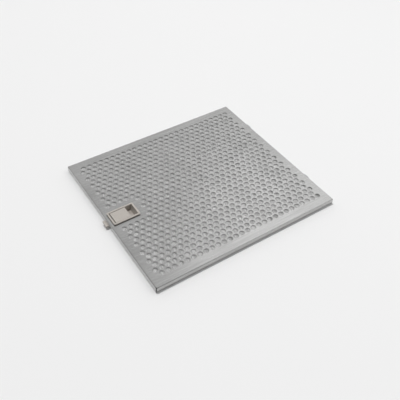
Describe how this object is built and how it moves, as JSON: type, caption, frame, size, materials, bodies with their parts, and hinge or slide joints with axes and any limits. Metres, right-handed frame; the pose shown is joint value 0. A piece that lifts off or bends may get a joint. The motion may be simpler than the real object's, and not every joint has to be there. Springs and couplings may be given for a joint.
{
  "type": "cooker hood grease filter",
  "caption": "Shallow rectangular grease filter cassette with perforated folded sheets, expanded mesh inside, a sprung finger latch on one edge and fixed tabs opposite.",
  "frame": {"origin": "under the middle of the plate, on the plane of the folded lips that the filter lies on", "axes": "+X from the latch edge to the tab edge, +Y along the latch edge, +Z out of the perforated front"},
  "size_m": [0.3108, 0.277, 0.011],
  "materials": {
    "aluminium_sheet": "mill finish",
    "mesh_foil": "expanded foil",
    "latch_moulding": "satin silver grey",
    "spring_steel": "rolled"
  },
  "bodies": {
    "cassette": {"front_sheet": "aluminium_sheet", "rear_sheet": "aluminium_sheet", "mesh_layer_1": "mesh_foil", "mesh_layer_2": "mesh_foil", "mesh_layer_3": "mesh_foil", "mesh_layer_4": "mesh_foil", "latch_housing": "latch_moulding", "latch_cover": "latch_moulding", "latch_spring": "spring_steel", "near_tab": "spring_steel", "far_tab": "spring_steel"},
    "latch": {"latch_slide": "latch_moulding"}
  },
  "joints": [
    {"name": "latch_pull", "type": "slide", "parent": "cassette", "child": "latch", "axis": [1, 0, 0], "range_m": [0, 0.0055], "stiffness_N_per_m": 350, "springref_m": -0.006, "deforming": ["latch_spring"]}
  ]
}
